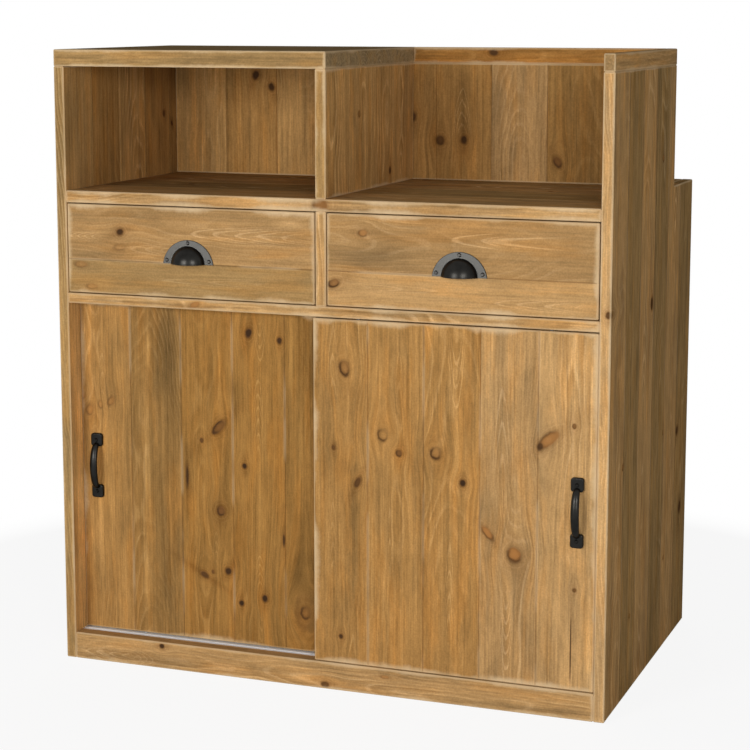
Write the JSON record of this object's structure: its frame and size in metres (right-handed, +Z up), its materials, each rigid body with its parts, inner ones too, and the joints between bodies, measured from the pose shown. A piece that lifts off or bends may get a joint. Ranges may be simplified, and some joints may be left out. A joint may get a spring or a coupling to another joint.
{
  "type": "storage counter",
  "caption": "Reclaimed pine storage cabinet with open bays on top, inset drawers with cup pulls and sliding board doors with black bow pulls over an aluminium track.",
  "frame": {"origin": "on the floor, under the middle of the box round the cabinet with its doors and drawers closed", "axes": "+Z up, +X to the right as seen from the front, the front faces -Y"},
  "size_m": [1, 0.644, 1.095],
  "materials": {
    "carcass_pine": "waxed, worn edges",
    "door_pine": "waxed, worn edges",
    "drawer_pine": "waxed, worn edges",
    "plain_pine": "sanded",
    "plywood": "sanded",
    "aluminium_track": "mill finish",
    "black_iron": "black waxed",
    "iron_screw": "blackened",
    "steel_screw": "zinc plated",
    "zinc_steel": "zinc plated",
    "nylon": "moulded"
  },
  "bodies": {
    "carcass": {"back_cap_rail": "carcass_pine", "bottom_panel": "plain_pine", "bottom_rail": "carcass_pine", "centre_drawer_runner": "plain_pine", "counter_shelf": "carcass_pine", "door_track": "aluminium_track", "drawer_divider": "carcass_pine", "drawer_rail": "carcass_pine", "drawer_stops": "plain_pine", "inner_shelf": "plain_pine", "left_deck_cleat": "plain_pine", "left_drawer_runner": "plain_pine", "left_shelf_cleat": "plain_pine", "left_side_panel": "carcass_pine", "lower_back_panel": "carcass_pine", "right_cap_rail": "carcass_pine", "right_deck_cleat": "plain_pine", "right_drawer_runner": "plain_pine", "right_shelf_cleat": "plain_pine", "right_side_panel": "carcass_pine", "top_board": "carcass_pine", "track_screws": "steel_screw", "upper_back_panel": "carcass_pine", "upper_divider": "carcass_pine"},
    "left_drawer": {"left_cup_pull": "black_iron", "left_cup_pull_screws": "iron_screw", "left_drawer_back": "plain_pine", "left_drawer_bottom": "plywood", "left_drawer_front": "drawer_pine", "left_drawer_left_side": "plain_pine", "left_drawer_right_side": "plain_pine"},
    "right_drawer": {"right_cup_pull": "black_iron", "right_cup_pull_screws": "iron_screw", "right_drawer_back": "plain_pine", "right_drawer_bottom": "plywood", "right_drawer_front": "drawer_pine", "right_drawer_left_side": "plain_pine", "right_drawer_right_side": "plain_pine"},
    "left_door": {"left_door_glides": "nylon", "left_door_guide_pins": "nylon", "left_door_panel": "door_pine", "left_door_pull": "black_iron", "left_door_pull_screws": "iron_screw"},
    "right_door": {"right_door_bracket_screws": "steel_screw", "right_door_brackets": "zinc_steel", "right_door_glides": "nylon", "right_door_guide_pins": "nylon", "right_door_panel": "door_pine", "right_door_pull": "black_iron", "right_door_pull_screws": "iron_screw"}
  },
  "joints": [
    {"name": "left_drawer_slide", "type": "slide", "parent": "carcass", "child": "left_drawer", "axis": [0, -1, 0], "range_m": [0, 0.36]},
    {"name": "right_drawer_slide", "type": "slide", "parent": "carcass", "child": "right_drawer", "axis": [0, -1, 0], "range_m": [0, 0.36]},
    {"name": "left_door_slide", "type": "slide", "parent": "carcass", "child": "left_door", "axis": [1, 0, 0], "range_m": [0, 0.465]},
    {"name": "right_door_slide", "type": "slide", "parent": "carcass", "child": "right_door", "axis": [-1, 0, 0], "range_m": [0, 0.465]}
  ]
}
